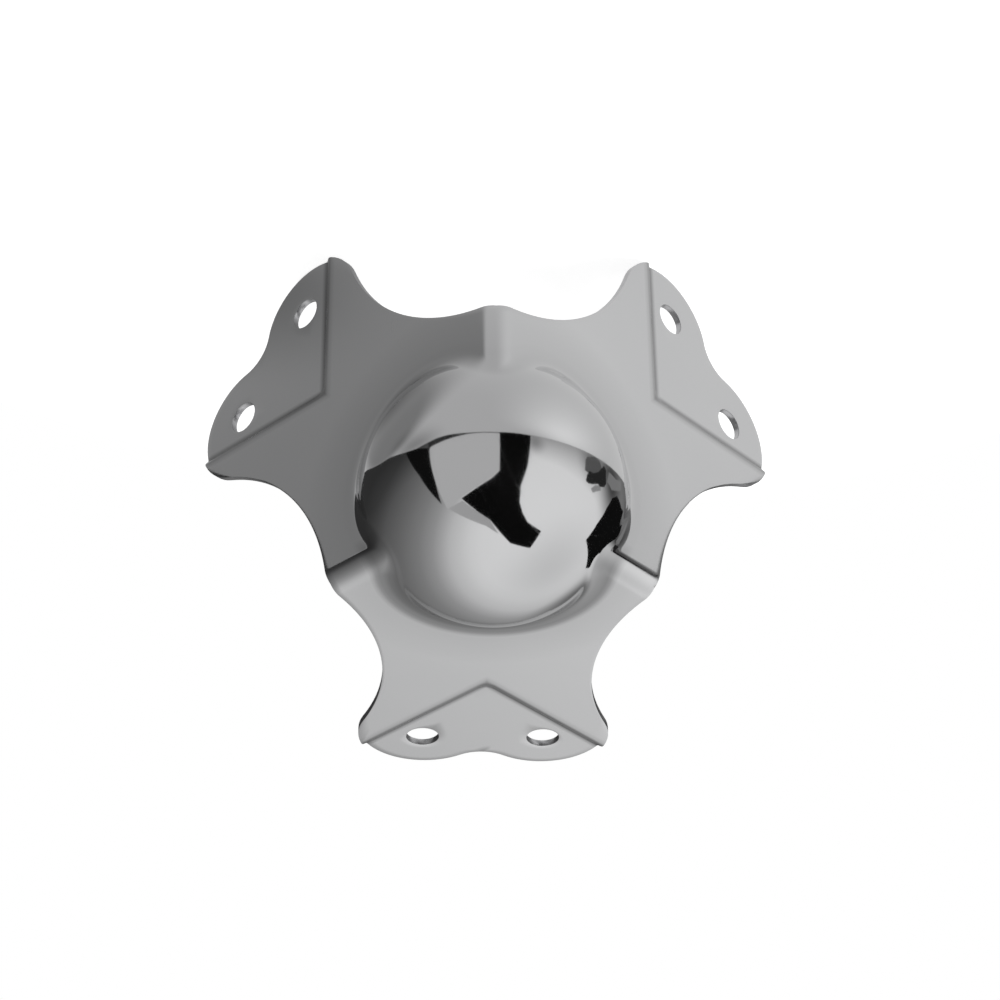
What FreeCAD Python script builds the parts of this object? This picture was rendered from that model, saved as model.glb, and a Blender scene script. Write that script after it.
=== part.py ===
import FreeCAD, Part
import math, os

# Ball corner for a flight case: one steel sheet pressed into three legs that
# meet in a ball. It covers the outer corner of a case and is riveted to it.
#
# Frame: the origin is the sharp outer corner of the case, where the three
# faces that the fitting sits on meet. The case fills x < 0, y > 0, z < 0, so
# the fitting's legs lie on its +X, -Y and +Z faces. All drawing below is done
# for a case that fills x, y, z > 0, and the result is turned half a turn about
# Y at the end. On a face, u and v run along it from its two case edges.
# All sizes in mm.

# Driving sizes
SHEET = 1.0            # sheet thickness
RIDGE_BEND_R = 2.0     # inside radius of the folds along the case edges
BALL_R = 19.2          # outside radius of the ball
BALL_OUT = 7.0         # how far the ball stands out of each case face
BALL_BLEND_R = 5.0     # hollow radius round the foot of the ball, outside
CRANK_AT = 33.6        # upper line of the V-shaped crank, from the case edges
CRANK_DEPTH = 1.2      # step of the crank, down to the leg end
CRANK_SLOPE = 38.0     # slope of the crank, degrees
CRANK_BEND_R = 0.8     # inside radius of both bends of the crank
CRANK_POINT_R = 3.0    # radius at the point of the V
HOLE_D = 5.0           # rivet holes, two in each leg end
HOLE_PAST = 6.1        # hole centre, past the upper line of the crank
HOLE_STEP = 13.0       # from one hole centre to the other, along either edge
LOBE_R = 10.0          # rounded lobe round each hole
LOBE_BACK_NEAR = 1.8   # lobe centre, set back from its hole toward the nearer edge
LOBE_BACK_FAR = 2.1    # the same, toward the farther edge
NOTCH_DIP = 2.8        # depth of the notch between the two lobes
WAIST_OVER = 5.0       # centre of the hollow between two legs, past the edge
WAIST_PAST = 17.7      # the same centre, along the edge, past the lobe centre

# Places that follow from them, from the case edges
BALL_IN = BALL_R - BALL_OUT
HOLE_NEAR = CRANK_AT + HOLE_PAST
HOLE_FAR = HOLE_NEAR + HOLE_STEP
LOBE_NEAR = HOLE_NEAR - LOBE_BACK_NEAR
LOBE_FAR = HOLE_FAR - LOBE_BACK_FAR

V = FreeCAD.Vector
R2 = math.sqrt(2.0)
STOCK = LOBE_FAR + LOBE_R + 30.0   # drawn larger than the part, then trimmed
DEEP = STOCK / 4.0                 # trimming depth, more than sheet and crank


def block(a, b):
    return Part.makeBox(b - a, b - a, b - a, V(a, a, a))


def frustum(a0, z0, a1, z1):
    # flat-sided solid on the squares a0..far at z0 and a1..far at z1
    far = STOCK + 5.0
    w = Part.makeWedge(a0, z0, -far, -far, a1, far, z1, -a0, -a1, far)
    w.rotate(V(0, 0, 0), V(1, 0, 0), 90)
    return w


def on_leg(shape, i):
    # a shape drawn on the z = 0 face, moved to leg i
    s = shape.copy()
    s.rotate(V(0, 0, 0), V(1, 1, 1), 120.0 * i)
    return s


def edges_where(shape, test):
    # edges whose middle point, with its coordinates sorted, passes the test
    found = []
    for e in shape.Edges:
        m = e.valueAt(0.5 * (e.FirstParameter + e.LastParameter))
        if test(m, sorted((m.x, m.y, m.z))):
            found.append(e)
    return found


def skin(e):
    # the case corner as one solid, its surface e below the outside of the sheet
    face = e - SHEET
    leg_end = face + CRANK_DEPTH
    slope = math.radians(CRANK_SLOPE)
    top = CRANK_AT - e * math.tan(slope / 2.0)
    foot = top + CRANK_DEPTH / math.tan(slope)

    s = block(face, STOCK)
    folds = edges_where(s, lambda m, c: abs(c[0] - face) < 1e-6 and abs(c[1] - face) < 1e-6)
    s = s.makeFillet(RIDGE_BEND_R + SHEET - e, folds)

    # the leg ends are let in by a sloped pocket with a rounded point
    lift = 1.0
    pocket = frustum(top - lift / math.tan(slope), face - lift, foot, leg_end)
    point = edges_where(pocket, lambda m, c: abs(m.x - m.y) < 1e-6 and m.x < foot + 1.0)
    pocket = pocket.makeFillet(CRANK_POINT_R + e, point)
    for i in range(3):
        s = s.cut(on_leg(pocket, i))
    s = s.removeSplitter()

    def crank_edges(level, line):
        reach = 0.5 * CRANK_POINT_R + 1.0
        return edges_where(s, lambda m, c: abs(c[0] - level) < 1e-4
                           and line - 0.02 < c[1] < line + reach and c[2] < STOCK - 1.0)

    s = s.makeFillet(CRANK_BEND_R + SHEET - e, crank_edges(face, top))
    s = s.makeFillet(CRANK_BEND_R + e, crank_edges(leg_end, foot))

    # the ball takes the place of the sharp corner, which would poke out of it
    r = BALL_R - e
    centre = V(BALL_IN, BALL_IN, BALL_IN)
    inside = BALL_IN - math.sqrt(max(r ** 2 - 2.0 * (BALL_IN - face) ** 2, 0.0)) + 1.0
    s = s.cut(block(face - 1.0, max(inside, 0.3 * BALL_IN)))
    ball = Part.makeSphere(r)
    ball.Placement = FreeCAD.Placement(centre, FreeCAD.Rotation(V(1, 1, 1), V(0, 0, 0), V(1, -1, 0), "XZY"))
    s = s.fuse(ball)
    seam = edges_where(s, lambda m, c: abs(m.distanceToPoint(centre) - r) < 1e-3
                       and face - 0.01 < c[0] < face + RIDGE_BEND_R + SHEET)
    return s.makeFillet(BALL_BLEND_R + e, seam)


def arc(p, centre, q):
    # the shorter arc from p to q about centre
    r = math.hypot(p[0] - centre[0], p[1] - centre[1])
    a = math.atan2(p[1] - centre[1], p[0] - centre[0])
    b = math.atan2(q[1] - centre[1], q[0] - centre[0])
    m = a + 0.5 * ((b - a + math.pi) % (2.0 * math.pi) - math.pi)
    mid = V(centre[0] + r * math.cos(m), centre[1] + r * math.sin(m), 0)
    return Part.Arc(V(p[0], p[1], 0), mid, V(q[0], q[1], 0)).toShape()


def line(p, q):
    return Part.makeLine(V(p[0], p[1], 0), V(q[0], q[1], 0))


def toward(a, b, r):
    d = math.hypot(b[0] - a[0], b[1] - a[1])
    return (a[0] + (b[0] - a[0]) * r / d, a[1] + (b[1] - a[1]) * r / d)


def swap(p):
    return (p[1], p[0])


def leg_outline():
    # outline of one leg on its face, run out past the two case edges. The
    # hollow waist arcs and the notch arc each touch the round lobes.
    lobe = (LOBE_NEAR, LOBE_FAR)
    waist = (-WAIST_OVER, LOBE_FAR + WAIST_PAST)
    waist_r = math.hypot(waist[0] - lobe[0], waist[1] - lobe[1]) - LOBE_R
    along = (lobe[0] + lobe[1]) / R2
    across = (lobe[1] - lobe[0]) / R2
    k = LOBE_R - NOTCH_DIP
    notch_r = (across ** 2 + k ** 2 - LOBE_R ** 2) / (2.0 * NOTCH_DIP)
    notch = ((along + k + notch_r) / R2, (along + k + notch_r) / R2)
    edge = (-SHEET, waist[1] - math.sqrt(waist_r ** 2 - (waist[0] + SHEET) ** 2))
    a = toward(lobe, waist, LOBE_R)
    b = toward(lobe, notch, LOBE_R)
    return Part.Wire([
        line((-DEEP, -DEEP), (-DEEP, edge[1])),
        line((-DEEP, edge[1]), edge),
        arc(edge, waist, a),
        arc(a, lobe, b),
        arc(b, notch, swap(b)),
        arc(swap(b), swap(lobe), swap(a)),
        arc(swap(a), swap(waist), swap(edge)),
        line(swap(edge), (edge[1], -DEEP)),
        line((edge[1], -DEEP), (-DEEP, -DEEP)),
    ])


def trimmings():
    # what lies outside the leg outline, within the third of the corner that
    # belongs to this leg (bounded by the planes halfway between two faces)
    third = frustum(-DEEP, -DEEP, DEEP, DEEP)
    leg = Part.Face(leg_outline()).extrude(V(0, 0, 2.0 * DEEP + 2.0))
    leg.translate(V(0, 0, -DEEP - 1.0))
    return third.cut(leg)


def rivet_hole(u, v):
    depth = 2.0 * (SHEET + CRANK_DEPTH)
    return Part.makeCylinder(HOLE_D / 2.0, 2.0 * depth, V(u, v, -depth), V(0, 0, 1))


def ball_corner():
    sheet = skin(0.0).cut(skin(SHEET))
    for i in range(3):
        sheet = sheet.cut(on_leg(trimmings(), i))
        sheet = sheet.cut(on_leg(rivet_hole(HOLE_NEAR, HOLE_FAR), i))
        sheet = sheet.cut(on_leg(rivet_hole(HOLE_FAR, HOLE_NEAR), i))
    sheet = max(sheet.Solids, key=lambda s: s.Volume).removeSplitter()
    sheet.rotate(V(0, 0, 0), V(0, 1, 0), 180)
    return sheet


if __name__ == "__main__":
    shape = ball_corner()
    os.makedirs("parts", exist_ok=True)
    shape.exportStep("parts/ball_corner.step")
    b = shape.BoundBox
    print("ball_corner valid", shape.isValid(), "solids", len(shape.Solids), "faces", len(shape.Faces))
    print("volume mm3", round(shape.Volume, 1), "steel mass g", round(shape.Volume * 7.85e-3, 1))
    print("box", [round(c, 2) for c in (b.XMin, b.YMin, b.ZMin, b.XMax, b.YMax, b.ZMax)])
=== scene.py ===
# %% [markdown]
# # Flight case corner
#
# This lesson builds a ball corner for a flight case in Blender: one sheet of
# bright-plated steel, pressed into three legs that meet in a ball. The packed
# CAD model is loaded first, because every piece has to stay where it says.

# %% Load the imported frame
import math

import bmesh
import bpy
import numpy as np
from mathutils import Matrix, Vector


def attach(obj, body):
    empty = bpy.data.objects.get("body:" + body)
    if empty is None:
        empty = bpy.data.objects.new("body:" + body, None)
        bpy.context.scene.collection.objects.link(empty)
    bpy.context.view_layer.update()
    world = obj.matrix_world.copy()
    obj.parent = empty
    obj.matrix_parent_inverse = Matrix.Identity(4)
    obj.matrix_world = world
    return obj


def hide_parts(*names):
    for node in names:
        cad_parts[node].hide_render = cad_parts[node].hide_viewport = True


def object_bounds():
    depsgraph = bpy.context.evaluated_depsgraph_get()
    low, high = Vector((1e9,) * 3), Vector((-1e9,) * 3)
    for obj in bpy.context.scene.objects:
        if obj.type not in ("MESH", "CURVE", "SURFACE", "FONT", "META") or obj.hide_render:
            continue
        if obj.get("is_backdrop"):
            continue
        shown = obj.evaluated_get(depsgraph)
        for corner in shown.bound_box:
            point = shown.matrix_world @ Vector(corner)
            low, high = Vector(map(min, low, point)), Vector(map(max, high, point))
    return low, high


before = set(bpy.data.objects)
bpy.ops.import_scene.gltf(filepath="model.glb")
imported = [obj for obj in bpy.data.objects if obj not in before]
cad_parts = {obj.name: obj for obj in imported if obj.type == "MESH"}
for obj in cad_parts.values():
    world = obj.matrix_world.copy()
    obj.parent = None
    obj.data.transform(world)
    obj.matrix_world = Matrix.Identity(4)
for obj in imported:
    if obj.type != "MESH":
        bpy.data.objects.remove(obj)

cad_low, cad_high = (list(c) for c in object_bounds())
print("CAD nodes:", sorted(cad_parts))

# %% [markdown]
# The camera comes first. It stands where the photographer stood, looking down
# at the outside of the corner along its three-way diagonal. The picture was
# turned upside down afterwards, so the camera's own up points down here.

# %% Camera
MM = 0.001  # in metres
CAMERA_AT = Vector((0.2432, -0.2223, 0.2304))    # metres
CAMERA_BACK = Vector((0.6061, -0.5535, 0.5712))  # the way it looks, turned round
CAMERA_UP = Vector((0.4132, -0.3945, -0.8207))
LENS_MM, SENSOR_MM = 107.3, 36.0
NEAREST_SEEN = 0.01

camera = bpy.data.objects.new("camera", bpy.data.cameras.new("camera"))
bpy.context.scene.collection.objects.link(camera)
bpy.context.scene.camera = camera
camera.data.sensor_width = SENSOR_MM
camera.data.lens = LENS_MM
camera.data.clip_start = NEAREST_SEEN
across = CAMERA_UP.cross(CAMERA_BACK).normalized()
upward = CAMERA_BACK.cross(across).normalized()
turn = Matrix((across, upward, CAMERA_BACK.normalized())).transposed()
camera.matrix_world = Matrix.Translation(CAMERA_AT) @ turn.to_4x4()
bpy.context.scene.view_settings.view_transform = "Standard"
print("camera", round(CAMERA_AT.length / MM), "mm from the case corner")

# %% [markdown]
# The sizes are those of the real part in millimetres, drawn for a case that
# fills x, y, z > 0 with its faces at zero. Half of one leg is drawn, between
# the fold that it shares with its neighbour and its own middle line. Five more
# copies, mirrored and turned about the three-way diagonal, close the corner.

# %% Sizes in millimetres
SHEET = 1.0           # thickness
FOLD_R = 2.0          # inside radius of the folds
BALL_R = 19.2         # outside radius of the ball
BALL_AT = 12.2        # ball centre, from each face
HOLLOW_R = 5.0        # hollow round the foot of the ball
CRANK_AT = 33.6       # upper line of the step, from the case edges
CRANK_DEPTH = 1.2
CRANK_SLOPE = math.radians(38.0)
CRANK_BEND_R = 0.8    # inside radius of both bends of the step
POINT_R = 3.0         # round at the point of the V, square to its leaning edge
POINT_PLAN_R = 1.85   # the same round as it looks in the flat plan
HOLE = np.array([39.7, 52.7])
HOLE_R = 2.5
LOBE = np.array([37.9, 50.6])
LOBE_R = 10.0
WAIST = np.array([-5.0, 68.3])
WAIST_R = np.linalg.norm(WAIST - LOBE) - LOBE_R
NOTCH_DIP = 2.8       # depth of the notch between two lobes
print("sheet", SHEET, "mm, ball", 2 * BALL_R, "mm across, holes", 2 * HOLE_R, "mm")

# %% [markdown]
# A few small helpers carry most of the shape. One turns a direction smoothly
# into another, which is how an arc is drawn in space. Another walks along a
# circle in the flat plan of a leg.

# %% Helpers
def unit(v):
    """Each row of v divided by its length."""
    return v / np.linalg.norm(v, axis=-1, keepdims=True)


def shares(count):
    """The shares from 0 to 1 in this many even steps: k / count."""
    return np.linspace(0, 1, count + 1)


def steps_to(start, end, count):
    """Even steps up to the end, without the start: start + k (end - start) / count."""
    return np.linspace(start, end, count + 1)[1:]


def turned(a, b, w):
    """Directions on the great arc from a to b: at share w of the angle between
    them, a sin((1-w)A)/sin A + b sin(wA)/sin A. Rows follow w, columns a and b."""
    angle = np.arccos(np.clip(np.sum(a * b, axis=-1), -1.0, 1.0))[None, :, None]
    w = w[:, None, None]
    return (np.sin((1 - w) * angle) * a + np.sin(w * angle) * b) / np.sin(angle)


def on_circle(centre, radius, degrees):
    """Points at these angles on a circle of the plan: centre + radius (cos, sin)."""
    a = np.radians(degrees)
    return centre + radius * np.stack([np.cos(a), np.sin(a)], axis=-1)


def angle_of(centre, point):
    """The angle in degrees at which the centre sees the point."""
    return math.degrees(math.atan2(point[1] - centre[1], point[0] - centre[0]))


def toward(a, b, distance):
    """The point at this distance from a, on the line to b."""
    return a + (b - a) * distance / np.linalg.norm(b - a)


print("lobe's edge towards the waist:", toward(LOBE, WAIST, LOBE_R).round(2))

# %% [markdown]
# On the real part the ball grows out of the sheet with a hollow all round its
# foot, as if a marble had been rolled along the seam. So the seam is drawn as
# the path of that marble's centre. It keeps one distance from the ball, and one
# from the sheet: a circle over the flat, and a curve round the fold.

# %% The seam round the ball
FOLD_STEPS, WAIST_STEPS, LOBE_STEPS, CRANK_STEPS, POINT_STEPS = 10, 40, 7, 26, 7
SEAM_TURNS = (70.0, 66.0)  # plan angles where the waist and the lobe part end
HALF_WAY = 45.0            # degrees to the middle of a fold, and to a leg's middle line
ball = np.array([BALL_AT] * 3)


def marble_path():
    """The marble's centre for each column, with the directions to the ball and
    to the sheet. Over the fold the centre is at angle p round the fold's axis,
    FOLD_R - reach (sin p, cos p), and its height along the fold solves the
    sphere of radius BALL_R + HOLLOW_R. Over the flat it runs round a circle."""
    reach = FOLD_R + SHEET + HOLLOW_R
    far = BALL_R + HOLLOW_R
    p = np.radians(np.linspace(HALF_WAY, 0.0, FOLD_STEPS + 1))
    x, z = FOLD_R - reach * np.sin(p), FOLD_R - reach * np.cos(p)
    y = BALL_AT + np.sqrt(far**2 - (x - BALL_AT) ** 2 - (z - BALL_AT) ** 2)
    fold = np.stack([x, y, z], axis=-1)
    fold_down = np.stack([np.sin(p), 0 * p, np.cos(p)], axis=-1)

    height = -(SHEET + HOLLOW_R)
    ring = math.sqrt(far**2 - (height - BALL_AT) ** 2)
    start = math.degrees(math.acos((FOLD_R - BALL_AT) / ring))
    lobe_from, lobe_to = SEAM_TURNS
    turns = np.concatenate([
        steps_to(start, lobe_from, WAIST_STEPS),
        steps_to(lobe_from, lobe_to, LOBE_STEPS),
        steps_to(lobe_to, HALF_WAY, CRANK_STEPS + POINT_STEPS),
    ])
    plan = on_circle(ball[:2], ring, turns)
    flat = np.column_stack([plan, np.full(len(plan), height)])
    flat_down = np.tile([0.0, 0.0, 1.0], (len(plan), 1))
    centre = np.concatenate([fold, flat])
    return centre, unit(ball - centre), np.concatenate([fold_down, flat_down])


marble, to_ball, to_sheet = marble_path()
print("seam columns in half a leg:", len(marble))

# %% [markdown]
# The step near the end of each leg is a crank: the sheet bends down, runs down
# a short slope and bends level again, so that the leg end lies on the panel
# while the rest clears the edge profile. Its profile is drawn once and carried
# along a V with a rounded point.

# %% The crank
BEND_STEPS = 6


def crank_profile(e):
    """Distance from the case edge and height of the crank, e below the outside:
    an arc from level to the slope, the slope, and an arc back to level. Bends
    trade radius for depth, so that the sheet keeps its thickness."""
    half = math.tan(CRANK_SLOPE / 2)
    upper, lower = CRANK_BEND_R + SHEET - e, CRANK_BEND_R + e
    top = CRANK_AT - e * half
    foot = top + CRANK_DEPTH / math.tan(CRANK_SLOPE)
    a = np.linspace(0.0, CRANK_SLOPE, BEND_STEPS + 1)
    level = e - SHEET
    s1 = top - upper * half + upper * np.sin(a)
    z1 = level + upper * (1 - np.cos(a))
    b = a[::-1]
    s2 = foot + lower * half - lower * np.sin(b)
    z2 = level + CRANK_DEPTH - lower * (1 - np.cos(b))
    middle = 0.5 * (s1[-1] + s2[0]), 0.5 * (z1[-1] + z2[0])
    return np.concatenate([s1, [middle[0]], s2]), np.concatenate([z1, [middle[1]], z2])


def crank_line(s, point_r):
    """Plan of the V at distance s from the edges: down from the lobe's outline
    at (s, v), then half a quarter turn round the point, to the middle line."""
    top = LOBE[1] + math.sqrt(LOBE_R**2 - (s - LOBE[0]) ** 2)
    turn_at = s + point_r
    v = np.linspace(top, turn_at, CRANK_STEPS + 1)
    straight = np.column_stack([np.full_like(v, s), v])
    angles = steps_to(180.0, 180.0 + HALF_WAY, POINT_STEPS)
    return np.concatenate([straight, on_circle(np.array([turn_at, turn_at]), point_r, angles)])


print("crank profile rows:", len(crank_profile(0.0)[0]))

# %% [markdown]
# The outline of a leg is four arcs that touch: the hollow waist between two
# legs, the lobe round each rivet hole, and the shallow notch in the middle. The
# first grid of a skin ends at the waist, the first bit of the lobe and the
# crank. The pad behind the crank has a border of its own, all round.

# %% The leg's outline
DIAGONAL_STEPS, NOTCH_STEPS, PAD_LOBE_STEPS = 12, 8, 20

along = (LOBE[0] + LOBE[1]) / math.sqrt(2)
apart = (LOBE[1] - LOBE[0]) / math.sqrt(2)
dip = LOBE_R - NOTCH_DIP
NOTCH_R = (apart**2 + dip**2 - LOBE_R**2) / (2 * NOTCH_DIP)
NOTCH = np.array([1.0, 1.0]) * (along + dip + NOTCH_R) / math.sqrt(2)
waist_end = toward(LOBE, WAIST, LOBE_R)
notch_end = toward(LOBE, NOTCH, LOBE_R)


def waist_height(u):
    """Height of the waist arc over the plan place u: the lower half of a circle."""
    return WAIST[1] - np.sqrt(WAIST_R**2 - (u - WAIST[0]) ** 2)


def lobe_angle(s):
    """The angle on the lobe's circle where the line at s from the edge meets it."""
    return math.degrees(math.acos((s - LOBE[0]) / LOBE_R))


def face_border(level, s, point_r, fold):
    """End of the main grid: the fold's rows cut off at the waist, the rest of the
    waist arc, the lobe down to the crank, and the crank's upper line at s."""
    waist_from = angle_of(WAIST, (FOLD_R, waist_height(FOLD_R)))
    waist_turns = steps_to(waist_from, angle_of(WAIST, waist_end), WAIST_STEPS)
    lobe_turns = steps_to(angle_of(LOBE, waist_end), lobe_angle(s), LOBE_STEPS)
    plan = np.concatenate([on_circle(WAIST, WAIST_R, waist_turns),
                           on_circle(LOBE, LOBE_R, lobe_turns),
                           crank_line(s, point_r)[1:]])
    return np.concatenate([
        np.column_stack([fold[:, 0], waist_height(fold[:, 0]), fold[:, 2]]),
        np.column_stack([plan, np.full(len(plan), level)]),
    ])


def pad_border(s, inner):
    """Round the leg end in plan: the crank's lower line at s, the leg's middle
    line, the notch, and the lobe back to the crank."""
    notch_mid = angle_of(NOTCH, (0.0, 0.0)) % 360.0
    bottom = on_circle(NOTCH, NOTCH_R, np.array([notch_mid]))[0]
    diagonal = inner[-1] + steps_to(0, 1, DIAGONAL_STEPS)[:, None] * (bottom - inner[-1])
    notch_turns = steps_to(notch_mid, angle_of(NOTCH, notch_end) % 360.0, NOTCH_STEPS)
    lobe_turns = steps_to(angle_of(LOBE, notch_end), lobe_angle(s), PAD_LOBE_STEPS)
    return np.concatenate([inner, diagonal, on_circle(NOTCH, NOTCH_R, notch_turns),
                           on_circle(LOBE, LOBE_R, lobe_turns)])


print("waist radius", round(WAIST_R, 2), "notch radius", round(NOTCH_R, 2))

# %% [markdown]
# Now the skins. The outside and the inside of the sheet are the same function
# at two depths, which is what keeps the wall even through the ball, the folds
# and the cranks. Each skin is three grids of points: the main one, from the
# ball's tip to the outline, the crank, and the pad with the rivet hole.

# %% One skin of the sheet
DOME_STEPS, HOLLOW_STEPS, FACE_STEPS, PAD_STEPS = 30, 12, 12, 5
FACE_CROWDING = 1.4  # above 1, the rows of the flat lie closer near the ball


def skin(e):
    """The grids of half a leg, e below the outside.
    Main: c + r (great arc from the tip to the seam), then the marble's own arc
    centre + (HOLLOW_R + e) (great arc from the ball to the sheet), then straight
    lines from that foot to the outline. Crank: the profile carried along the V.
    Pad: straight lines from its border to the hole."""
    level = e - SHEET
    tip = np.tile(-np.ones(3) / math.sqrt(3), (len(marble), 1))
    dome = ball + (BALL_R - e) * turned(tip, -to_ball, shares(DOME_STEPS))
    hollow = marble + (HOLLOW_R + e) * turned(to_ball, to_sheet, shares(HOLLOW_STEPS))
    foot = hollow[-1]

    s, z = crank_profile(e)
    point_r = POINT_PLAN_R * (1 + e / POINT_R)
    edge = face_border(level, s[0], point_r, foot[:FOLD_STEPS + 1])
    face = foot + (shares(FACE_STEPS) ** FACE_CROWDING)[:, None, None] * (edge - foot)
    main = np.concatenate([dome, hollow[1:], face[1:]])

    lines = [crank_line(si, point_r) for si in s]
    crank = np.stack([np.column_stack([line, np.full(len(line), zi)])
                      for line, zi in zip(lines, z)])

    border = pad_border(s[-1], lines[-1])
    rim = HOLE + HOLE_R * unit(border - HOLE)
    flat = border + shares(PAD_STEPS)[:, None, None] * (rim - border)
    height = np.full(flat.shape[:2] + (1,), level + CRANK_DEPTH)
    return main, crank, np.concatenate([flat, height], axis=-1)


outside, inside = skin(0.0), skin(SHEET)
print("grid points of one skin:", [g.shape[:2] for g in outside])

# %% [markdown]
# The two skins of half a leg are joined by walls along the cut edges: at the
# waist, across the crank, round the lobe and the notch, and in the hole. The
# fold and the middle line stay open, because the next copy joins on there. The
# cut edges get a finish of their own: they were sheared after the pressing.

# %% Join the grids into half a leg
FACE_FINISH, EDGE_FINISH = 0, 1


def grid_faces(start, rows, columns):
    """Four-sided faces of a grid, each (row, column) joined to the next."""
    i, j = np.meshgrid(np.arange(rows - 1), np.arange(columns - 1), indexing="ij")
    a = start + (i * columns + j).ravel()
    return np.stack([a, a + columns, a + columns + 1, a + 1], axis=-1)


def wall_faces(outer, inner):
    """Faces of the wall between a border of the outside and its twin inside."""
    return np.stack([outer[:-1], inner[:-1], inner[1:], outer[1:]], axis=-1)


def half_leg():
    """Points, faces and finishes of half a leg with its cut edges."""
    points, faces, finish, index = [], [], [], []
    start = 0
    for depth, grids in enumerate((outside, inside)):
        places = []
        for g in grids:
            rows, columns = g.shape[:2]
            f = grid_faces(start, rows, columns)
            faces.append(f if depth == 0 else f[:, ::-1])
            finish.append(np.full(len(f), FACE_FINISH))
            places.append(start + np.arange(rows * columns).reshape(rows, columns))
            points.append(g.reshape(-1, 3))
            start += rows * columns
        index.append(places)
    (main_o, crank_o, pad_o), (main_i, crank_i, pad_i) = index
    last = FOLD_STEPS + WAIST_STEPS + LOBE_STEPS + 1
    first = CRANK_STEPS + POINT_STEPS + DIAGONAL_STEPS
    walls = [
        wall_faces(main_o[-1, :last], main_i[-1, :last]),
        wall_faces(crank_o[:, 0], crank_i[:, 0]),
        wall_faces(pad_o[0, first:][::-1], pad_i[0, first:][::-1]),
        wall_faces(pad_o[-1], pad_i[-1]),
    ]
    faces += walls
    finish.append(np.full(sum(len(w) for w in walls), EDGE_FINISH))
    return np.concatenate(points), np.concatenate(faces), np.concatenate(finish)


half = half_leg()
print("half a leg:", len(half[0]), "points,", len(half[1]), "faces")

# %% [markdown]
# Six copies of the half leg are put together. A mirrored copy has its faces
# turned round, so that all of them still point out of the metal. Merging the
# doubles then closes the seams: a closed sheet has two faces at every edge.

# %% Six halves, one sheet
SAME_PLACE = 2e-6  # metres


def whole_corner(p, f, m):
    """Half a leg, its mirror image in x = y, and both turned twice by a third
    of a turn about the diagonal, which only swaps the coordinates round. The
    last step is half a turn about Y, into the frame of the CAD model."""
    points, faces, finish = [], [], []
    for order in ([0, 1, 2], [2, 0, 1], [1, 2, 0]):
        for mirrored in (False, True):
            q = p[:, [1, 0, 2]] if mirrored else p
            faces.append((f[:, ::-1] if mirrored else f) + len(p) * len(points))
            points.append(q[:, order])
            finish.append(m)
    points = np.concatenate(points) * np.array([-1.0, 1.0, -1.0]) * MM
    return points, np.concatenate(faces), np.concatenate(finish)


def mesh_object(name, points, faces, finish):
    """A mesh object at the origin, its doubles merged."""
    mesh = bpy.data.meshes.new(name)
    mesh.from_pydata(points.tolist(), [], faces.tolist())
    mesh.polygons.foreach_set("material_index", finish.astype(np.int32))
    bm = bmesh.new()
    bm.from_mesh(mesh)
    bmesh.ops.remove_doubles(bm, verts=bm.verts, dist=SAME_PLACE)
    open_edges = sum(1 for edge in bm.edges if len(edge.link_faces) != 2)
    volume = bm.calc_volume(signed=True) / MM**3
    bm.to_mesh(mesh)
    bm.free()
    obj = bpy.data.objects.new(name, mesh)
    bpy.context.scene.collection.objects.link(obj)
    print(name, len(mesh.polygons), "faces,", open_edges, "open edges,", round(volume, 1), "mm3")
    return obj


corner = mesh_object("pressed_corner", *whole_corner(*half))
corner.data.shade_smooth()

# %% [markdown]
# A sheared edge is never perfectly sharp. A narrow bevel rounds the edges of
# the cut, and the piece then takes the place of its CAD node.

# %% Round the cut edges
CUT_ROUND = 0.12   # width of the bevel, mm
CUT_ANGLE = 50.0   # only edges that turn by more than this, degrees

soften = corner.modifiers.new("cut edges", "BEVEL")
soften.width = CUT_ROUND * MM
soften.segments = 2
soften.limit_method = "ANGLE"
soften.angle_limit = math.radians(CUT_ANGLE)

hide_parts("ball_corner")
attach(corner, "root")
print("cut edges rounded by", CUT_ROUND, "mm")

# %% [markdown]
# A finish is a tree of nodes, and its numbers come one after another: a place,
# a noise, a sum. These helpers make one node each and hand on its output, so
# that a finish below reads like a recipe.

# %% Helpers for finishes
def node(tree, kind, **values):
    """A new node. Names that start with set_ are its own settings, the others
    are its inputs, with _ for a space."""
    n = tree.nodes.new(kind)
    for key, value in values.items():
        if key.startswith("set_"):
            setattr(n, key[4:], value)
        else:
            n.inputs[key.replace("_", " ")].default_value = value
    return n


def math_node(tree, operation, a, b, clamp=False):
    """The operation on a and b, each a number or a socket. A clamped one stays
    between 0 and 1."""
    n = tree.nodes.new("ShaderNodeMath")
    n.operation, n.use_clamp = operation, clamp
    for slot, value in enumerate((a, b)):
        if isinstance(value, (int, float)):
            n.inputs[slot].default_value = value
        else:
            tree.links.new(value, n.inputs[slot])
    return n.outputs[0]


def noise(tree, place, **values):
    """Smooth noise over this place, about 0.5 on average."""
    n = node(tree, "ShaderNodeTexNoise", **values)
    tree.links.new(place, n.inputs["Vector"])
    return n.outputs["Fac"]


def object_place(tree):
    """The place on the piece, in its own coordinates."""
    return node(tree, "ShaderNodeTexCoord").outputs["Object"]


print("helpers for one node each:", [f.__name__ for f in (node, math_node, noise, object_place)])

# %% [markdown]
# Every material here is bright metal with small faults. One group of nodes
# makes the faults that both finishes share: soft smudges that dull the gloss,
# fine hairlines from handling, and the faint waves of pressed sheet.

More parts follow.
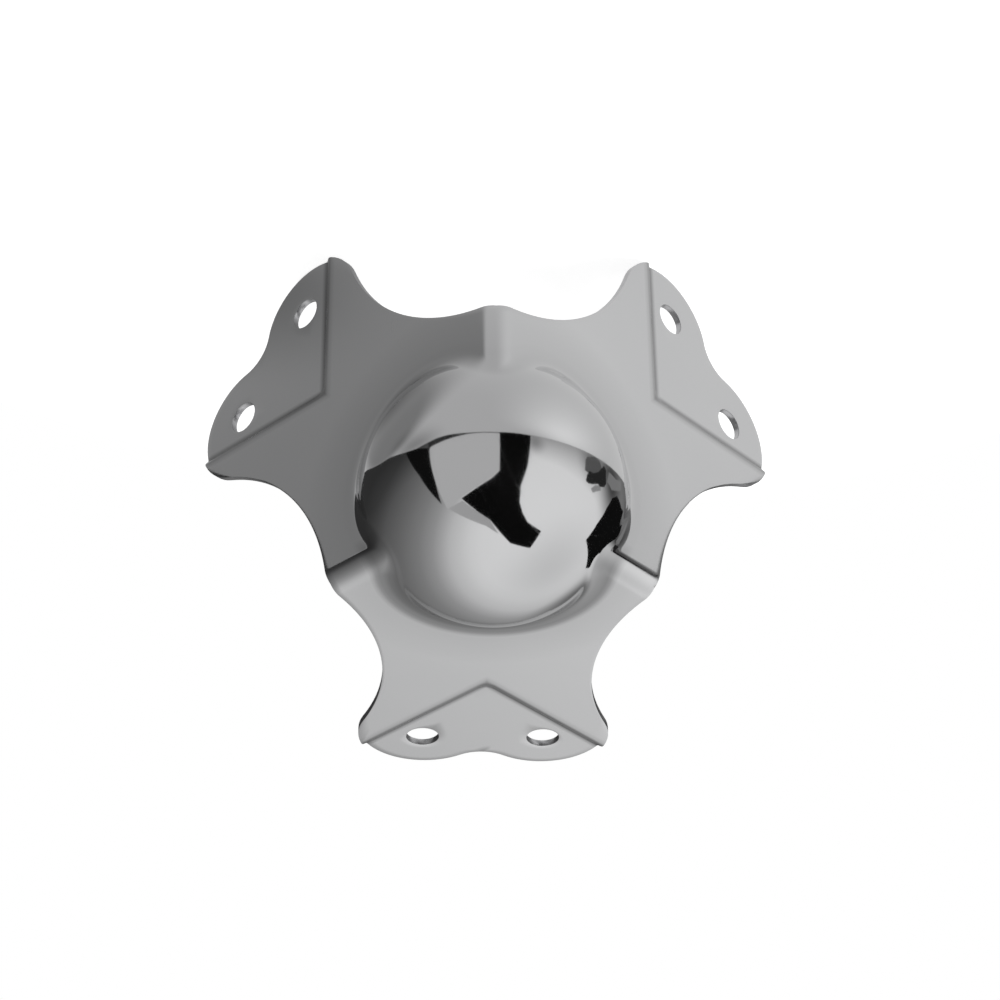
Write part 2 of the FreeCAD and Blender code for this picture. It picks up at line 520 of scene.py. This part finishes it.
# %% Shared wear
SMUDGE_FROM = 0.42                      # noise below this leaves no smudge
HAIR_TURNS = ((0.5, 3.0), (2.1, 11.0))  # turn about Y in radians, and a seed
HAIR_ROLL, HAIR_SWAY = 0.4, 0.7         # turns about X and Z for each unit of seed
HAIR_STRETCH = (60.0, 2400.0, 60.0)     # per metre, so a hairline is long and thin
HAIR_FROM, HAIR_GAIN = 0.66, 5.0        # only the crests of the noise are hairlines
HAIR_DULLING, HAIR_DEPTH = 0.5, 0.02    # of a hairline: loss of gloss, and groove


def new_group(name, inputs, outputs):
    """A shader node group with float inputs (name, default) and float outputs."""
    group = bpy.data.node_groups.new(name, "ShaderNodeTree")
    for label, value in inputs:
        socket = group.interface.new_socket(label, in_out="INPUT", socket_type="NodeSocketFloat")
        socket.default_value = value
    for label in outputs:
        group.interface.new_socket(label, in_out="OUTPUT", socket_type="NodeSocketFloat")
    return group


def wear_group():
    """Dulling is smudges plus hairlines, and Height is waves less hairlines."""
    group = new_group("plated wear", [("Smudge", 1.0), ("Hairlines", 1.0), ("Waves", 1.0)],
                      ["Dulling", "Height"])
    get = node(group, "NodeGroupInput")
    put = node(group, "NodeGroupOutput")
    place = object_place(group)

    smudge = noise(group, place, Scale=90.0, Detail=5.0, Roughness=0.6)
    smudge = math_node(group, "SUBTRACT", smudge, SMUDGE_FROM, True)
    smudge = math_node(group, "MULTIPLY", smudge, get.outputs["Smudge"])

    hairs = []
    for angle, seed in HAIR_TURNS:
        own = node(group, "ShaderNodeMapping", Location=(seed, seed, 0.0),
                   Rotation=(HAIR_ROLL * seed, angle, HAIR_SWAY * seed), Scale=HAIR_STRETCH)
        group.links.new(place, own.inputs["Vector"])
        hair = noise(group, own.outputs["Vector"], Scale=1.0, Detail=2.0)
        hair = math_node(group, "SUBTRACT", hair, HAIR_FROM, True)
        hairs.append(math_node(group, "MULTIPLY", hair, HAIR_GAIN, True))
    lines = math_node(group, "MAXIMUM", *hairs)
    lines = math_node(group, "MULTIPLY", lines, get.outputs["Hairlines"])

    wave = noise(group, place, Scale=55.0, Detail=1.0)
    wave = math_node(group, "MULTIPLY", wave, get.outputs["Waves"])

    dull_lines = math_node(group, "MULTIPLY", lines, HAIR_DULLING)
    deep_lines = math_node(group, "MULTIPLY", lines, HAIR_DEPTH)
    group.links.new(math_node(group, "ADD", smudge, dull_lines), put.inputs["Dulling"])
    group.links.new(math_node(group, "SUBTRACT", wave, deep_lines), put.inputs["Height"])
    return group


wear = wear_group()
print("group:", wear.name)

# %% [markdown]
# A shade that belongs to one place on the part starts from a distance. The
# distance is brought to a share from 0 to 1, and a ramp then says how light the
# metal is at each share.

# %% Helpers for a shade
def axes_of(tree, vector):
    """The X, Y and Z sockets of a vector."""
    split = node(tree, "ShaderNodeSeparateXYZ")
    tree.links.new(vector, split.inputs[0])
    return split.outputs


def map_range(tree, value, from_min, from_max, to_min, to_max, shape="LINEAR"):
    """to_min up to from_min, to_max past from_max, and a line between them. With
    SMOOTHSTEP the line is the curve 3t^2 - 2t^3."""
    n = node(tree, "ShaderNodeMapRange", set_interpolation_type=shape, From_Min=from_min,
             From_Max=from_max, To_Min=to_min, To_Max=to_max)
    tree.links.new(value, n.inputs["Value"])
    return n.outputs["Result"]


def grey(level):
    """A neutral colour of this level."""
    return (level, level, level, 1.0)


def ramp(tree, value, stops):
    """Straight lines through these stops, each (value, level)."""
    r = tree.nodes.new("ShaderNodeValToRGB")
    tree.links.new(value, r.inputs["Fac"])
    elements = r.color_ramp.elements
    while len(elements) < len(stops):
        elements.new(0.5)
    for element, (at, level) in zip(elements, stops):
        element.position = at
        element.color = grey(level)
    return r.outputs["Color"]


print("a colour is red, green, blue and alpha:", grey(0.5))

# %% [markdown]
# Two places on the part get painted shade in their colour. Along the cranks the sheet is painted
# darker, as shade in the bends. The hollow round the ball's foot is painted a little darker too, as
# shade. Both are worked out from the place on the piece, so they follow the shape from every side.

# %% Painted shade in the cranks and round the ball's foot
BALL_CENTRE = (-BALL_AT * MM, BALL_AT * MM, -BALL_AT * MM)
CRANK_SHADE_FROM, CRANK_SHADE_REACH = CRANK_AT - 1.8, 5.0  # mm, from the case edges
# painted shade along the crank lines: the share of light kept at each share of the way
CRANK_SHADE = ((0.08, 1.0), (0.23, 0.84), (0.36, 0.46), (0.68, 0.42), (0.78, 0.78), (0.86, 1.0))
FOOT_RING_REACH = 4.0  # mm, from the ball's surface
# painted shade in the hollow round the ball's foot: the share taken away at each share of the reach
FOOT_RING = ((0.0, 0.0), (0.04, 0.65), (0.18, 0.85), (0.40, 1.0),
             (0.50, 0.80), (0.60, 0.33), (0.70, 0.0))
# heights over which the painted shade at the foot grows, and its amount at each
FOOT_HEIGHTS, FOOT_AMOUNTS = (-4.0 * MM, 1.0 * MM), (0.04, 0.52)


def painted_crank_shade(tree, place):
    """Painted shade along the crank lines, as the share of light that they keep. Of the three
    distances from the case faces the smallest is the sheet's own, so the middle one tells how far a
    point is from the V: max(min(x, y), min(max(x, y), z))."""
    axes = axes_of(tree, place)
    x = math_node(tree, "MULTIPLY", axes["X"], -1.0)
    z = math_node(tree, "MULTIPLY", axes["Z"], -1.0)
    y = axes["Y"]
    middle = math_node(tree, "MAXIMUM", math_node(tree, "MINIMUM", x, y),
                       math_node(tree, "MINIMUM", math_node(tree, "MAXIMUM", x, y), z))
    past = math_node(tree, "SUBTRACT", middle, CRANK_SHADE_FROM * MM)
    share = math_node(tree, "DIVIDE", past, CRANK_SHADE_REACH * MM, True)
    return ramp(tree, share, CRANK_SHADE)


def painted_foot_shade(tree, place, from_ball):
    """Share of light that the hollow round the ball's foot keeps, as painted shade. It is least
    over the +Z face, where the painted shade is deepest."""
    past = math_node(tree, "SUBTRACT", from_ball, BALL_R * MM)
    share = math_node(tree, "DIVIDE", past, FOOT_RING_REACH * MM, True)
    amount = map_range(tree, axes_of(tree, place)["Z"], *FOOT_HEIGHTS, *FOOT_AMOUNTS)
    taken = math_node(tree, "MULTIPLY", ramp(tree, share, FOOT_RING), amount)
    return math_node(tree, "SUBTRACT", 1.0, taken)


print("painted crank shade from", round(CRANK_SHADE_FROM, 1), "mm, over", CRANK_SHADE_REACH, "mm")

# %% [markdown]
# The ball is polished by the press, so it reflects like a mirror. The flats keep the fine satin of
# rolled sheet, and their colour is painted a little paler as light. The distance from the ball's
# centre, in the piece's own coordinates, tells the two apart.

# %% Bright plating
POLISHED, SATIN = 0.05, 0.17  # roughness of the ball and of the flats
ROUGHER = ((BALL_R + 0.5) * MM, (BALL_R + 7.0) * MM)  # it rises between these distances
# the flats' colour is made paler here as painted light
PALER = ((BALL_R + 3.0) * MM, (BALL_R + 9.0) * MM)    # and here the colour gets paler,
PAINTED_LIGHT_GAIN = 1.13                                     # by this factor
PLATING_TONES = (0.600, 0.603, 0.610, 1.0), (0.640, 0.640, 0.645, 1.0)


def vector_node(tree, operation, a, b=None):
    """Outputs of the operation on the vector socket a and the fixed vector b."""
    n = node(tree, "ShaderNodeVectorMath", set_operation=operation)
    tree.links.new(a, n.inputs[0])
    if b is not None:
        n.inputs[1].default_value = b
    return n.outputs


def metal(name):
    """A material whose shader is all metal, with its tree and the shader."""
    material = bpy.data.materials.new(name)
    material.use_nodes = True
    tree = material.node_tree
    shader = tree.nodes["Principled BSDF"]
    shader.inputs["Metallic"].default_value = 1.0
    return material, tree, shader


def mottled(tree, share, tones):
    """The colour between two tones, at this share of the way."""
    mix = node(tree, "ShaderNodeMix", set_data_type="RGBA", A=tones[0], B=tones[1])
    tree.links.new(share, mix.inputs["Factor"])
    return mix.outputs["Result"]


def add_bump(tree, shader, height, strength, distance):
    """Bumps on the shader, distance metres high at full height and strength."""
    bump = node(tree, "ShaderNodeBump", Strength=strength, Distance=distance)
    tree.links.new(height, bump.inputs["Height"])
    tree.links.new(bump.outputs["Normal"], shader.inputs["Normal"])


def plating():
    """Mirror on the ball and rougher rolled sheet on the flats, with painted light on the flats and
    painted shade in the cranks and round the ball's foot.
    """
    material, tree, shader = metal("bright plating")
    place = object_place(tree)
    away = vector_node(tree, "DISTANCE", place, BALL_CENTRE)["Value"]
    worn = node(tree, "ShaderNodeGroup", set_node_tree=wear, Smudge=0.12, Hairlines=0.25, Waves=1.0)
    rough = map_range(tree, away, *ROUGHER, POLISHED, SATIN)
    rough = math_node(tree, "ADD", rough, worn.outputs["Dulling"])
    tree.links.new(rough, shader.inputs["Roughness"])

    colour = mottled(tree, noise(tree, place, Scale=38.0, Detail=3.0), PLATING_TONES)
    # painted light: the flats' colour made paler; painted shade: the cranks and the ball's foot
    # darker
    painted_flat_light = map_range(tree, away, *PALER, 1.0, PAINTED_LIGHT_GAIN)
    kept = math_node(tree, "MULTIPLY", painted_flat_light, painted_crank_shade(tree, place))
    kept = math_node(tree, "MULTIPLY", kept, painted_foot_shade(tree, place, away))
    shade = node(tree, "ShaderNodeVectorMath", set_operation="SCALE")
    tree.links.new(colour, shade.inputs[0])
    tree.links.new(kept, shade.inputs["Scale"])
    tree.links.new(shade.outputs["Vector"], shader.inputs["Base Color"])
    add_bump(tree, shader, worn.outputs["Height"], strength=0.12, distance=0.0004)
    return material


corner.data.materials.append(plating())
print("roughness", POLISHED, "on the ball,", SATIN, "on the flats")

# %% [markdown]
# The sheared edges are plated too, but over the torn metal of the cut: duller
# and a little darker, with fine lines across the thickness.

# %% Cut edges
CUT_ROUGHNESS = 0.28
CUT_TONES = (0.48, 0.48, 0.49, 1.0), (0.64, 0.64, 0.65, 1.0)


def cut_edge():
    """Rough metal whose colour and bumps follow one fine noise."""
    material, tree, shader = metal("cut edge")
    worn = node(tree, "ShaderNodeGroup", set_node_tree=wear, Smudge=0.5, Hairlines=0.2, Waves=0.3)
    rough = math_node(tree, "ADD", worn.outputs["Dulling"], CUT_ROUGHNESS)
    tree.links.new(rough, shader.inputs["Roughness"])
    shear = noise(tree, object_place(tree), Scale=1500.0, Detail=2.0)
    tree.links.new(mottled(tree, shear, CUT_TONES), shader.inputs["Base Color"])
    add_bump(tree, shader, shear, strength=0.25, distance=0.0001)
    return material


corner.data.materials.append(cut_edge())
print("finishes:", [m.name for m in corner.data.materials])

# %% [markdown]
# What the metal mirrors is made of plain levels of light. Some of it is for the
# metal alone, so a material asks which ray looks at it. A soft spot is a round
# patch that is lighter or darker than what lies round it.

# %% Helpers for the stage
def light_path(tree, *rays):
    """1 for any of these rays, else 0."""
    path = node(tree, "ShaderNodeLightPath")
    total = None
    for ray in rays:
        seen = path.outputs[ray]
        total = seen if total is None else math_node(tree, "ADD", total, seen, True)
    return total


def by_ray(tree, share, usual, special):
    """The usual shader, and the special one where the share is 1."""
    pick = node(tree, "ShaderNodeMixShader")
    tree.links.new(share, pick.inputs["Fac"])
    tree.links.new(usual.outputs[0], pick.inputs[1])
    tree.links.new(special.outputs[0], pick.inputs[2])
    return pick


def soft_spot(tree, place, at, reach, height, turned_by=0.0, flat_to=0.0):
    """A soft bump: height at the middle and as far as flat_to, 0 past reach.
    The mapping turns the place into the ellipsoid's own measure."""
    own = node(tree, "ShaderNodeMapping", set_vector_type="TEXTURE", Location=at,
               Rotation=(0.0, 0.0, turned_by), Scale=reach)
    tree.links.new(place, own.inputs["Vector"])
    size = vector_node(tree, "LENGTH", own.outputs["Vector"])["Value"]
    return map_range(tree, size, flat_to, 1.0, height, 0.0, "SMOOTHSTEP")


def stage_material(name):
    """An empty material with its tree and the input for its last shader."""
    material = bpy.data.materials.new(name)
    material.use_nodes = True
    tree = material.node_tree
    tree.nodes.clear()
    return material, tree, node(tree, "ShaderNodeOutputMaterial").inputs["Surface"]


def stage_mesh(name, points, faces, material):
    """A piece of the stage: it isn't part of the corner."""
    mesh = bpy.data.meshes.new(name)
    mesh.from_pydata(points.tolist(), [], faces)
    mesh.materials.append(material)
    obj = bpy.data.objects.new(name, mesh)
    bpy.context.scene.collection.objects.link(obj)
    obj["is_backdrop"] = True
    return obj


# %% [markdown]
# The corner stands on the tips of two legs on a small pale table, whose rim runs across the ball's
# reflection: a round table with one corner. The table is white to the camera, apart from a soft
# shadow. What the metal sees of it is a glow of painted light: strong in front, weaker towards +X
# and behind, with a painted pool of light and the corner's painted shadow.

# %% Table
TABLE_UNDER = 0.00005  # a hair below the lowest point, so that nothing touches
TABLE_AT = Vector((0.020, -0.034, cad_low[2] - TABLE_UNDER))
# the rim's distance from the middle, in metres, by angle in degrees
TABLE_RIM = ((0, 0.130), (10, 0.130), (20, 0.140), (28, 0.158), (36, 0.172), (46, 0.165),
             (56, 0.155), (66, 0.147), (76, 0.146), (84, 0.141), (95, 0.133), (105, 0.130),
             (360, 0.130))
TABLE_SIDES = 128
TABLE_MATT, TABLE_LIFT = 0.8, 0.7  # colour, and the glow that makes it white to the camera
# painted light falling off across the table, as the metal sees it
TABLE_PAINTED_SLOPE = (-0.050, 0.040, 0.70, 0.57)  # from x, to x, level at the first and second
# painted light and shadow for the metal: a pool of light in front, then the corner's shadow and
# darker patches; middle and reach in metres, height, turn in degrees, share that is flat
TABLE_PAINTED_SPOTS = (((-0.020, -0.105), (0.099, 0.099), 0.29, 0.0, 0.0),
               ((0.035, 0.065), (0.075, 0.055), -0.31, 43.0, 0.55),
               ((-0.005, 0.048), (0.030, 0.030), -0.15, 0.0, 0.0),
               ((0.125, 0.060), (0.075, 0.075), -0.25, 0.0, 0.0))


def table_material():
    """Matt white with a lift for the camera, and for the metal a glow of painted light and painted
    shadow.
    """
    material, tree, surface = stage_material("pale table")
    matt = node(tree, "ShaderNodeBsdfDiffuse", Color=grey(TABLE_MATT))
    lift = node(tree, "ShaderNodeEmission", Color=grey(1.0))
    looked_at = light_path(tree, "Is Camera Ray", "Is Transmission Ray")
    tree.links.new(math_node(tree, "MULTIPLY", looked_at, TABLE_LIFT), lift.inputs["Strength"])
    seen = node(tree, "ShaderNodeAddShader")
    tree.links.new(matt.outputs[0], seen.inputs[0])
    tree.links.new(lift.outputs[0], seen.inputs[1])

    place = object_place(tree)
    level = map_range(tree, axes_of(tree, place)["X"], *TABLE_PAINTED_SLOPE, "SMOOTHSTEP")
    for at, reach, height, turned_by, flat_to in TABLE_PAINTED_SPOTS:
        spot = soft_spot(tree, place, (*at, TABLE_AT.z), (*reach, 1.0), height,
                         math.radians(turned_by), flat_to)
        level = math_node(tree, "ADD", level, spot)
    # the glow that the metal sees: painted light and painted shadow on the table
    mirrored = node(tree, "ShaderNodeEmission", Color=grey(1.0))
    tree.links.new(level, mirrored.inputs["Strength"])
    pick = by_ray(tree, light_path(tree, "Is Glossy Ray"), seen, mirrored)
    tree.links.new(pick.outputs[0], surface)
    return material


ring = np.linspace(0, 2 * math.pi, TABLE_SIDES + 1)[:-1]
rim = np.interp(np.degrees(ring), *np.transpose(TABLE_RIM))
table_points = np.column_stack([TABLE_AT.x + rim * np.cos(ring), TABLE_AT.y + rim * np.sin(ring),
                                np.full(TABLE_SIDES, TABLE_AT.z)])
table = stage_mesh("table", table_points, [list(range(TABLE_SIDES))], table_material())
print("table", round(2 * rim.min() / MM), "mm across")

# %% [markdown]
# Bright metal shows its surroundings more than itself. Outside the table is a
# plain room. It is white where the light comes from and dark away from it, its
# walls are dimmer low down, and a few soft shades lie on them. Only the metal
# sees it, so the room is a sphere round the ball that casts no light.

# %% Room
LIGHT_FROM = Vector((-0.35, -0.60, 0.72)).normalized()
ROOM_R = 0.75
ROOM_COLUMNS, ROOM_ROWS = 48, 25
POLE_GAP = 89.0  # elevation of the last row, where a cap closes the sphere
# share of the way from the dark side to the light, level there
ROOM_LIGHT = ((0.10, 0.08), (0.28, 0.20), (0.40, 0.29), (0.50, 0.41), (0.56, 0.54),
              (0.62, 0.69), (0.68, 0.78), (0.74, 0.88), (0.80, 0.94), (0.95, 0.98))
LOW_WALL = (-0.281, 0.026, 0.48, 1.0)  # from height, to height, share at each
# azimuth, elevation, reach in metres, share of the light that is taken away
ROOM_SHADES = ((-110.0, -1.0, 0.24, 0.54), (-66.0, -15.0, 0.32, 0.52),
               (-38.0, -14.0, 0.22, 0.30), (-75.0, 45.0, 0.60, 0.19),
               (14.0, -10.0, 0.14, 0.30))


def bearing(azimuth, elevation, distance):
    """Points at these bearings from the ball: azimuth from -Y towards +X."""
    a, e = np.radians(azimuth), np.radians(elevation)
    way = np.stack([np.sin(a) * np.cos(e), -np.cos(a) * np.cos(e), np.sin(e)], axis=-1)
    return np.array(BALL_CENTRE) + distance * way


def room_material():
    """Colour by the share 0.5 + way . LIGHT_FROM / (2 ROOM_R), and strength by the
    low wall's share less each soft shade."""
    material, tree, surface = stage_material("room")
    place = object_place(tree)
    way = vector_node(tree, "SUBTRACT", place, BALL_CENTRE)["Vector"]
    slope = vector_node(tree, "DOT_PRODUCT", way, LIGHT_FROM / (2 * ROOM_R))["Value"]
    share = math_node(tree, "ADD", slope, 0.5, True)
    glow = node(tree, "ShaderNodeEmission")
    tree.links.new(ramp(tree, share, ROOM_LIGHT), glow.inputs["Color"])
    level = map_range(tree, axes_of(tree, way)["Z"], *LOW_WALL)
    for azimuth, elevation, reach, depth in ROOM_SHADES:
        at = tuple(bearing(azimuth, elevation, ROOM_R))
        shade = soft_spot(tree, place, at, (reach, reach, reach), depth)
        level = math_node(tree, "SUBTRACT", level, shade)
    tree.links.new(level, glow.inputs["Strength"])
    tree.links.new(glow.outputs[0], surface)
    return material


def reflected_only(obj):
    """The metal sees it, and nothing else does: it casts no light or shadow."""
    obj.visible_camera = obj.visible_diffuse = obj.visible_shadow = False
    obj.visible_transmission = obj.visible_volume_scatter = False


az, el = np.meshgrid(np.linspace(-180, 180, ROOM_COLUMNS + 1)[:-1],
                     np.linspace(-POLE_GAP, POLE_GAP, ROOM_ROWS))
room_points = bearing(az, el, ROOM_R).reshape(-1, 3)
index = np.arange(len(room_points)).reshape(ROOM_ROWS, ROOM_COLUMNS)
beside = np.roll(index, -1, axis=1)
room_faces = np.stack([index[:-1], beside[:-1], beside[1:], index[1:]], axis=-1)
caps = [index[0, ::-1].tolist(), index[-1].tolist()]
room = stage_mesh("room", room_points, room_faces.reshape(-1, 4).tolist() + caps, room_material())
room.data.shade_smooth()
reflected_only(room)
print("room", 2 * ROOM_R, "m wide,", len(room.data.polygons), "faces")

# %% [markdown]
# A few black and grey flags stand in the room, as in a photographer's studio.
# They are what gives the ball its dark shapes. Each flag is a sheet whose
# corners are given as bearings seen from the ball, and each hangs a little
# nearer than the one before, so that no two lie in the same place.

# %% Flags
FLAG_R, FLAG_GAP = 0.6, 0.001
# level, then (azimuth, elevation) of each corner
FLAGS = {
    "black_flag_front": (0.004, [
        (18, -16), (42, -16), (42, 17), (50, 24), (60, 29), (80, 35), (66, 50), (53, 57), (33, 68),
        (0, 73), (-37, 63), (-30, 58), (-23, 50), (0, 52), (12, 47), (19, 40), (22, 27), (19, 10)]),
    "grey_flag_front": (0.58, [
        (42, -15), (98, -13), (98, 38), (80, 34), (60, 28), (50, 23), (42, 16)]),
    "black_flag_left": (0.006, [(99, -13), (121, -20), (110, 4), (101, 32), (98, 14)]),
    "black_strip_left": (0.03, [(68, -18), (70, -15.5), (85, -14.5), (99, -11), (99, -18)]),
    "black_flag_right": (0.006, [
        (-65, 18), (-63, 6), (-65, -6), (-69, -14), (-76, -19), (-90, -22), (-107, -27),
        (-120, -30), (-131, -34), (-120, -20), (-107, -5), (-93, 5), (-90, 10)]),
    "grey_streak_low": (0.12, [
        (-31, -8), (-36, -8), (-42, -11), (-48, -14), (-50, -19), (-48, -22), (-42, -22),
        (-37, -20), (-33, -18), (-31, -15)]),
    "pale_streak_low": (0.34, [(-44, -5), (-41, -1), (-44, 0), (-47, -3), (-52, -7), (-50, -9)]),
    "black_streak_low": (0.025, [
        (-34, -6), (-34, -2), (-37, -2), (-41, -4), (-44, -6), (-47, -8), (-50, -8), (-55, -11),
        (-57, -14), (-56, -18), (-56, -21), (-53, -22), (-50, -19), (-46, -15), (-42, -13),
        (-36, -10)]),
    "grey_flag_low": (0.25, [
        (-58, -16), (-66, -16), (-78, -22), (-84, -25), (-84, -28), (-72, -24), (-60, -22)]),
    "grey_flag_top": (0.48, [(80, 37), (97, 38), (60, 62), (37, 69), (53, 57), (66, 50)]),
}


def plain(name, level):
    """An even glow of this level."""
    material, tree, surface = stage_material(name)
    glow = node(tree, "ShaderNodeEmission", Color=grey(level), Strength=1.0)
    tree.links.new(glow.outputs[0], surface)
    return material


for order, (name, (level, corners)) in enumerate(FLAGS.items()):
    points = bearing(*np.array(corners, float).T, FLAG_R - FLAG_GAP * order)
    flag = stage_mesh(name, points, [list(range(len(corners)))], plain(name, level))
    reflected_only(flag)
print("flags:", len(FLAGS))

# %% [markdown]
# A soft lamp above and an even grey sky light the table. The sky is white where
# the camera or the metal looks straight at it.

# %% Lamp and sky
LAMP_AWAY, LAMP_WIDTH, LAMP_WATTS = 0.7, 0.5, 3.2
SKY_LEVEL = 0.55

lamp = bpy.data.objects.new("soft lamp", bpy.data.lights.new("soft lamp", "AREA"))
bpy.context.scene.collection.objects.link(lamp)
lamp.data.shape = "DISK"
lamp.data.size = LAMP_WIDTH
lamp.data.energy = LAMP_WATTS
facing = LIGHT_FROM.to_track_quat("Z", "Y").to_matrix().to_4x4()
lamp.matrix_world = Matrix.Translation(LIGHT_FROM * LAMP_AWAY) @ facing
lamp.visible_glossy = False

world = bpy.data.worlds.new("sky")
bpy.context.scene.world = world
world.use_nodes = True
sky = world.node_tree
sky.nodes.clear()
even = node(sky, "ShaderNodeBackground", Color=grey(SKY_LEVEL), Strength=1.0)
white = node(sky, "ShaderNodeBackground", Color=grey(1.0), Strength=1.0)
looked_at = light_path(sky, "Is Camera Ray", "Is Glossy Ray", "Is Transmission Ray")
pick = by_ray(sky, looked_at, even, white)
sky.links.new(pick.outputs[0], node(sky, "ShaderNodeOutputWorld").inputs["Surface"])
print("lamp", LAMP_WATTS, "W, sky", SKY_LEVEL)

# %% [markdown]
# The picture stage is done. The piece's size is written next to the CAD
# model's, to see at a glance that nothing sticks out of it.

# %% Sizes before the end
low, high = (list(c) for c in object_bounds())
over = [max(a - b, 0) / MM for a, b in zip(cad_low + high, low + cad_high)]
print("outside the CAD box by, mm:", [round(o, 3) for o in over])
